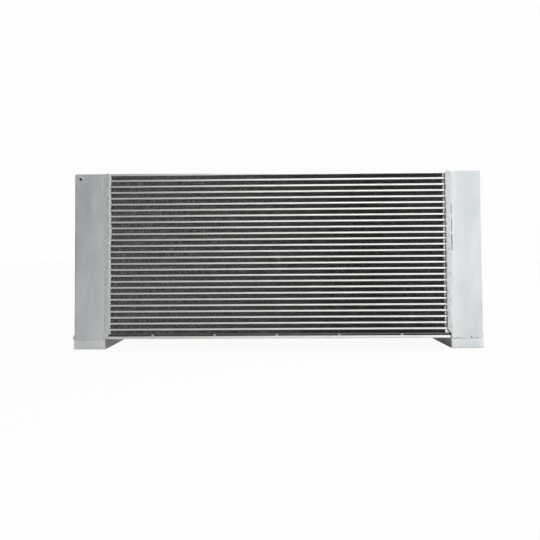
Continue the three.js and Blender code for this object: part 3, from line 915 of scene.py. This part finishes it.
def shroud_boss():
    """The blind tapped boss whose face shows in the tank's front, with a near-black lining and a dark thread as
    painted shade in its deep hole.
    """
    node = "shroud_boss"
    axis, radius, front, rear = round_node(node)
    face = front - 0.35 * MM
    core, hole, edge, lip = 0.05 * MM, BOSS_HOLE, 0.3 * MM, 0.1 * MM
    profile = [(core, rear), (radius, rear), (radius, face + edge), (radius - edge, face), (hole + lip, face)]
    profile += [(hole, face + lip), (hole, face + 13 * MM), (core, face + 14 * MM)]
    fitting(f"{node}_body", profile, axis, TANK_METAL, node)
    inside, outside = hole - 0.05 * MM, hole + 0.2 * MM
    lining = [(inside, 0.12), (outside, 0.12), (outside, 12.9), (core, 13.8), (core, 12.6), (inside, 12.4)]
    lining = [(r, face + depth * MM) for r, depth in lining]
    # Painted shade: the lining is near-black for the shade inside the deep hole.
    fitting(f"{node}_lining", lining, axis, PAINTED_SHADE_BLACK, node, 40, 35)
    # Painted shade: the thread takes the dark dull metal for the same shade.
    thread(f"{node}_thread", (axis[0], face, axis[2]), inside, MM, 10 * MM, node, 1, DULL_METAL)


def make_fittings():
    for word in ("inlet", "outlet"):
        flange_port(word)
    for word in ("drain", "bleed"):
        bung(word)
        washer(word)
        plug(word)
    shroud_boss()


# ---- Welds ----


def unit(vectors):
    return vectors / np.linalg.norm(vectors, axis=1)[:, None]


def straight_path(start, end, across, outward, step=0.8 * MM):
    """Points from start to end with the directions across the bead and out of the surface."""
    start, end = np.array(start, float), np.array(end, float)
    count = max(8, int(np.linalg.norm(end - start) / step))
    points = start + (end - start) * np.linspace(0, 1, count)[:, None]
    return points, np.tile(across, (count, 1)).astype(float), np.tile(outward, (count, 1)).astype(float)


def circle_path(centre, radius, y):
    """A circle round an axis along Y, for a fillet between a wall that faces +Y and a round body."""
    t = np.linspace(0, 2 * math.pi, 120, endpoint=False)
    out = np.column_stack([np.cos(t), np.zeros(len(t)), np.sin(t)])
    up = np.array([0, 1, 0])
    return (centre[0], y, centre[2]) + radius * out, unit(out - up), unit(up + out)


def rounded_path(section, y, inset):
    """A closed path round a pad on a wall that faces +Y, spaced evenly, for a fillet."""
    ring = np.array(section + section[:1], float)
    lengths = np.concatenate([[0], np.cumsum(np.linalg.norm(np.diff(ring, axis=0), axis=1))])
    at = np.linspace(0, lengths[-1], int(lengths[-1] / (0.8 * MM)), endpoint=False)
    flat = np.column_stack([np.interp(at, lengths, ring[:, 0]), np.interp(at, lengths, ring[:, 1])])
    tangent = unit(np.roll(flat, -1, axis=0) - np.roll(flat, 1, axis=0))
    out = along_y(np.column_stack([tangent[:, 1], -tangent[:, 0]]), 0)
    up = np.array([0, 1, 0])
    return along_y(flat, y) + out * inset, unit(out - up), unit(out + up)


def bead_arch(t, crest, drop):
    """Height across a bead, 0 to 1. With a crest off the middle, one flank is long and low, and the other is
    steep and goes on down by drop."""
    if crest == 0:
        return np.sqrt(np.maximum(0, 1 - np.abs(t) ** 2.4))
    long_flank = 1 - np.clip((crest - t) / (crest + 1), 0, 1) ** 1.7
    steep_flank = 1 - (1 + drop) * np.clip((t - crest) / (1 - crest), 0, 1) ** 1.6
    return np.where(t < crest, long_flank, steep_flank)


def weld_bead(
    name, path, width, height, ripple, seed, closed=False, stands_for=(), sink=0.35 * MM,
    edge_wave=0.08, crest=0.0, drop=0.0, taper=0.45, material=None
):
    """A bead laid along a path: overlapping crescent ripples, a wavy edge and uneven height."""
    points, across, outward = path
    count = len(points)
    step = np.linalg.norm(points[1] - points[0])
    run = np.arange(count) * step
    t = np.linspace(-1, 1, 17)
    wander = smooth_noise(count, 14 * MM / step, seed)
    swell = smooth_noise(count, 5 * MM / step, seed + 1)
    drift = smooth_noise(count, 20 * MM / step, seed + 2)
    pace = 1 + 0.18 * smooth_noise(count, 24 * MM / step, seed + 3)
    phase = np.cumsum(pace) * step / ripple
    lag, rise = 0.2475, 0.8  # how far a ripple's ends lag behind its middle, and the share of it that climbs
    crescent = phase[:, None] - lag * t[None, :] ** 2 * width / ripple
    saw = crescent - np.floor(crescent)
    scallop = np.where(saw < rise, saw / rise, (1 - saw) / (1 - rise))
    pulse = 0.5 + 0.5 * np.cos(2 * math.pi * (phase - 0.1))
    half = width / 2 * (1 + edge_wave * wander + 0.07 * pulse + 0.05 * swell)
    arch = bead_arch(t, crest, drop)
    pebbles = noise_grid(count, len(t), 2.2 * MM / step, 2.5, seed + 4)
    tall = height * (0.76 + 0.1 * swell[:, None] + 0.22 * scallop + 0.12 * pebbles) * arch[None, :]
    if not closed:
        ends = np.clip(np.minimum(run, run[-1] - run) / (taper * width), 0, 1)
        ends = np.sqrt(1 - (1 - ends) ** 2)
        tall = tall * ends[:, None]
        half = half * (0.35 + 0.65 * ends)
    side = t[None, :] * half[:, None] + 0.03 * width * drift[:, None]
    upper = points[:, None] + across[:, None] * side[..., None] + outward[:, None] * tall[..., None]
    lower = points[:, None] + across[:, None] * side[..., None] - outward[:, None] * sink
    if closed:
        upper = np.concatenate([upper, upper[:1]])
        lower = np.concatenate([lower, lower[:1]])
    make_piece(name, shell(upper, lower), material or WELD_METAL, stands_for, 80)


def spill(z, end):
    """How far the right front seam runs off towards the tank at its lower end."""
    return 6 * MM * np.clip(1 - (z - end) / (16 * MM), 0, 1) ** 2


def tank_seams():
    """The four upright beads between the tanks and the header bars. The front ones run off at the bottom, and the
    right front one has a groove on its core side lined with a near-black strip, and near-black runs in the groove on
    its tank side, both painted shade."""
    for word, side in SIDES.items():
        for face, y, out in (("front", FRONT, -1), ("rear", REAR, 1)):
            node = f"{word}_{face}_seam"
            low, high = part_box(node)
            x = box_centre(node)[0]
            left_front, right_front = node == "left_front_seam", node == "right_front_seam"
            foot_end = low.z - 8 * MM if left_front else low.z + MM
            path = straight_path((x, y, foot_end), (x, y, high.z + 1.2 * MM), (-side, 0, 0), (0, out, 0), 0.7 * MM)
            levels = path[0][:, 2]
            if left_front:
                rise = (levels - foot_end) / (high.z - foot_end)
                path[0][:, 0] += 2.0 * MM * rise - 5 * MM * np.clip(1 - rise / 0.09, 0, 1) ** 2
            if right_front:
                path[0][:, 0] += spill(levels, low.z)
            seed = 200 + 10 * side + out
            look = {"sink": 2.6 * MM, "edge_wave": 0.2, "crest": 0.5, "drop": 5.5}
            weld_bead(node + "_bead", path, 11.8 * MM, 0.38 * MM, 4.4 * MM, seed, stands_for=[node], **look)

    def upright(x, y, start, end):
        return straight_path((x, y, start), (x, y, end), (-1, 0, 0), (0, -1, 0), 0.6 * MM)

    # Painted shade: a near-black strip in the groove on the core side of the right front seam, and near-black runs in
    # the groove on its tank side.
    low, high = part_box("right_front_seam")
    path = upright(low.x + 0.7 * MM, FRONT + 0.1 * MM, low.z, high.z - 3 * MM)
    path[0][:, 0] += MM * smooth_noise(len(path[0]), 8, 55) + spill(path[0][:, 2], low.z)
    weld_bead("right_seam_painted_shade_strip", path, 1.25 * MM, 0.7 * MM, 3 * MM, 57, edge_wave=0.7, material=PAINTED_SHADE_BLACK)
    for k, (start, end, width) in enumerate(PAINTED_SHADE_RUNS):
        name, path = f"right_seam_slag_{k + 1}", upright(UNDERCUT_X - 0.1 * MM, FRONT + 0.5 * MM, start, end)
        weld_bead(name, path, width, 0.5 * MM, 3 * MM, 61 + k, edge_wave=0.5, material=PAINTED_SHADE_BLACK)


def foot_seams():
    """Low beads between the tanks and their feet. The right front one is broken by three lumps of slag."""
    z = (TANK_LOW.z + FOOT_HIGH.z) / 2
    near, far = FOOT_LOW.x + 2 * MM, FOOT_HIGH.x - 3 * MM
    breaks = {"left": [], "right": [near + 11 * MM, far - 21 * MM, far - 11 * MM]}
    up = (0, 0, 1)
    for word, side in SIDES.items():
        node = f"{word}_foot_seam"
        starts = [near] + [b + MM for b in breaks[word]]
        ends = [b - MM for b in breaks[word]] + [far]
        for k, (start, end) in enumerate(zip(starts, ends)):
            path = straight_path((start * side, FRONT, z), (end * side, FRONT, z), up, (0, -1, 0))
            name, seed = f"{node}_front_{k + 1}", 31 + side + 7 * k
            weld_bead(name, path, 4.4 * MM, 0.7 * MM, 3 * MM, seed, stands_for=[node], edge_wave=0.3)
        path = straight_path((near * side, REAR, z), (far * side, REAR, z), up, (0, 1, 0))
        weld_bead(node + "_rear", path, 5 * MM, 1.1 * MM, 3.2 * MM, 35 + side, edge_wave=0.2)
        x, lift = FOOT_HIGH.x * side, z + 3 * MM
        path = straight_path((x, FRONT + 2 * MM, lift), (x, REAR - 2 * MM, lift), up, (side, 0, 0))
        proud = (4.2 if side < 0 else 1.8) * MM
        weld_bead(node + "_outer", path, 15 * MM, proud, 3.4 * MM, 91 + side, crest=-0.25, taper=0.1)
    lumps = zip(breaks["right"], (0.6, 1.4, 0.2), (1.0, 2.2, 1.4))
    for k, (x, lift, radius) in enumerate(lumps):
        centre, radii = (x, FRONT - 0.15 * MM, z + lift * MM), (0.9 * MM, 0.5 * MM, radius * MM)
        blob(f"right_foot_slag_{k + 1}", centre, radii, 77 + k, material=DULL_METAL)


def cap_seams():
    """Beads round the tanks' end caps, on top of the tanks."""
    for word, side in SIDES.items():
        low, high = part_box(f"{word}_top_cap")
        z = TANK_HIGH.z - 0.1 * MM
        inner, far = sorted((abs(low.x), abs(high.x)))
        near = inner + 3 * MM
        for part, start, end, across in (
            ("front", (near, low.y), (far, low.y), (0, 1, 0)),
            ("outer", (far, low.y), (far, high.y), (1, 0, 0)),
            ("rear", (near, high.y), (far, high.y), (0, 1, 0)),
            ("inner", (inner, low.y), (inner, high.y), (1, 0, 0)),
        ):
            path = straight_path((start[0] * side, start[1], z), (end[0] * side, end[1], z), across, (0, 0, 1))
            seed = 400 + 10 * side + len(part)
            weld_bead(f"{word}_cap_weld_{part}", path, 5.2 * MM, 1.0 * MM, 2.8 * MM, seed)


def tack_welds():
    """Short blobs between the rail and the plate above it, at the front and again at the back."""
    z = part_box("base_rail")[1].z + 2.4 * MM
    plate_low, plate_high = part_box("bottom_side_plate")
    for k in range(1, 6):
        node = f"tack_weld_{k}"
        x = box_centre(node)[0] - 1.6 * MM
        for face, y, out in (("front", plate_low.y, -1), ("rear", plate_high.y, 1)):
            centre, radii = (x, y + out * 2.6 * MM, z), (3.2 * MM, 2.9 * MM, 2.5 * MM)
            blob(f"{node}_{face}", centre, radii, 1000 + 7 * k + out, [node] if face == "front" else ())


def blob(name, centre, radii, seed, stands_for=(), material=None):
    """A lumpy drop of weld metal."""
    bumps = np.random.default_rng(seed).uniform(-1, 1, (6, 3))
    rings, sides = 14, 26
    a = np.repeat(np.linspace(0, math.pi, rings + 1), sides)
    b = np.tile(np.linspace(0, 2 * math.pi, sides, endpoint=False), rings + 1)
    d = np.column_stack([np.sin(a) * np.cos(b), np.sin(a) * np.sin(b), np.cos(a)])
    swell = 1 + 0.03 * np.sin(5 * d @ bumps.T).sum(axis=1)
    solid = centre + d * radii * swell[:, None], ring_quads(rings + 1, sides)[1]
    make_piece(name, solid, material or WELD_METAL, stands_for, 80, join=1e-7)


def make_tanks():
    """Each tank has holes in its back for a port's spigot and a bung. The left one has one in front for the boss."""
    middle = REAR - TANK_WALL / 2
    (x, _, z), radius, *_ = round_node("shroud_boss")
    boss = x, FRONT + TANK_WALL / 2, z, radius + 0.1 * MM
    for word, port, plug_word, more in (("left", "outlet", "bleed", [boss]), ("right", "inlet", "drain", [])):
        spigot, neck = opening_centre(f"{port}_bore"), box_centre(f"{plug_word}_bung")
        holes = [(spigot[0], middle, spigot[2], 21.2 * MM), (neck[0], middle, neck[2], 10.2 * MM)]
        tank_channel(word, SIDES[word], holes + more)
        end_cap(word, "top")
        end_cap(word, "bottom")
        foot(word, SIDES[word])


# ---- Camera, light and floor ----

# How bright the surroundings are in seven steps from the far left to the far right
SURROUND = [
    (0.02, 0.021, 0.022),
    (0.16, 0.17, 0.18),
    (0.14, 0.15, 0.152),
    (1.19, 1.175, 1.11),
    (1.36, 1.36, 1.33),
    (0.49, 0.51, 0.53),
    (1.15, 1.25, 1.35),
]
RAMP_SCALE = 2.0  # a colour ramp holds values up to 1
BACKDROP = (0.985, 0.985, 0.98)
FLOOR_GLOW = 1.012  # how much brighter than the backdrop the floor looks, to make up for its shading
FLOOR_GLOW_SHARE = 0.95
# Painted shade in what the floor reflects: darker on the left and dark brown under the core.
FLOOR_LEFT_PAINTED_SHADE = (0.6, 0.6, 0.59)
FLOOR_RIGHT = (1.0, 1.0, 1.0)
FLOOR_UNDER_PAINTED_SHADE = (0.12, 0.035, 0.01)
# Name, place, size, power and colour of each soft light
LAMPS = [
    ("top", (0.2, -0.5, 1.9), 2.2, 14.5, (0.985, 1.0, 1.0)),
    ("low", (1.6, -1.6, 0.25), 0.5, 1.7, (0.97, 1.0, 1.0)),
]


def make_camera():
    """A wide view from in front, at a little over half the cooler's height, tipped up slightly."""
    data = bpy.data.cameras.new("camera")
    data.lens = 23.5
    data.sensor_width = 36
    data.shift_x = -0.0067
    data.shift_y = -0.0373
    camera = new_object("camera", data)
    yaw, pitch, roll = (math.radians(a) for a in (0.640, 1.253, -0.394))
    ahead = Vector((-math.sin(yaw) * math.cos(pitch), math.cos(yaw) * math.cos(pitch), math.sin(pitch)))
    level = Vector((math.cos(yaw), math.sin(yaw), 0))
    up = level.cross(ahead)
    right = level * math.cos(roll) + up * math.sin(roll)
    up = right.cross(ahead)
    turn = Matrix((right, up, -ahead)).transposed().to_4x4()
    camera.matrix_world = Matrix.Translation((0.0015, -0.7784, 0.1856)) @ turn
    bpy.context.scene.camera = camera


def area_light(name, place, size, power, colour):
    """A square soft light that faces the middle of the cooler."""
    data = bpy.data.lights.new(name, "AREA")
    data.shape = "SQUARE"
    data.size = size
    data.energy = power
    data.color = colour
    light = new_object(name, data)
    light.location = place
    aim = Vector((0, 0, 0.18)) - Vector(place)
    light.rotation_euler = aim.to_track_quat("-Z", "Y").to_euler()


def make_world():
    """Studio surroundings, darker on the left than on the right. The eye sees a plain pale backdrop."""
    world = bpy.data.worlds.new("studio")
    bpy.context.scene.world = world
    world.use_nodes = True
    t = Nodes(world.node_tree)
    t.tree.nodes.clear()
    x = t.add("SeparateXYZ", "X", {"Vector": t.add("TexCoord", "Generated")})
    ramp = t.add("ValToRGB", "Color", {"Fac": t.spread(x, -1, 1, 0, 1)})
    elements = ramp.node.color_ramp.elements
    for k, colour in enumerate(SURROUND):
        position = k / (len(SURROUND) - 1)
        stop = elements[k] if k < len(elements) else elements.new(position)
        stop.position = position
        stop.color = (*(c / RAMP_SCALE for c in colour), 1)
    surround = t.add("Background", "Background", {"Color": ramp, "Strength": RAMP_SCALE})
    seen = t.add("Background", "Background", {"Color": BACKDROP})
    eye = t.add("LightPath", "Is Camera Ray")
    t.add("OutputWorld", None, {"Surface": t.add("MixShader", "Shader", {"Fac": eye, 1: surround, 2: seen})})


def make_floor():
    """A pale floor that takes a faint contact shadow. What it reflects is darker on the left, and brown under
    the core, both painted shade."""
    bm = bmesh.new()
    bmesh.ops.create_circle(bm, cap_ends=True, segments=96, radius=30)
    floor = new_object("floor", new_mesh("floor", bm))
    material = bpy.data.materials.new("floor")
    material.use_nodes = True
    t = Nodes(material.node_tree)
    t.tree.nodes.clear()
    place = t.add("TexCoord", "Object")
    x, y = (t.add("SeparateXYZ", axis, {"Vector": place}) for axis in "XY")
    # Painted shade: a mask that is 1 under the core, where the floor's reflected colour turns dark brown.
    painted_shade_fades = []
    for source, inner, outer in ((x, 0.3, 0.4), (y, 0.035, 0.085)):
        ends = {"From Min": inner, "From Max": outer, "To Min": 1, "To Max": 0}
        away = {"Value": t.math("ABSOLUTE", source), **ends}
        painted_shade_fades.append(t.add("MapRange", "Result", away, interpolation_type="SMOOTHSTEP"))
    tone = t.blend(t.spread(x, -1, 1, 0, 1), FLOOR_LEFT_PAINTED_SHADE, FLOOR_RIGHT)
    tone = t.blend(t.math("MULTIPLY", *painted_shade_fades), tone, FLOOR_UNDER_PAINTED_SHADE)
    diffuse = t.add("BsdfDiffuse", "BSDF", {"Color": tone})
    glow = t.add("Emission", "Emission", {"Color": tuple(FLOOR_GLOW * c for c in BACKDROP)})
    share = t.math("MULTIPLY", t.add("LightPath", "Is Camera Ray"), FLOOR_GLOW_SHARE)
    mix = t.add("MixShader", "Shader", {"Fac": share, 1: diffuse, 2: glow})
    t.add("OutputMaterial", None, {"Surface": mix})
    floor.data.materials.append(material)


make_camera()
make_core()
make_plates()
make_tanks()
make_fittings()
tank_seams()
foot_seams()
cap_seams()
tack_welds()
bpy.context.scene.view_settings.view_transform = "Standard"
make_world()
make_floor()
for lamp in LAMPS:
    area_light(*lamp)
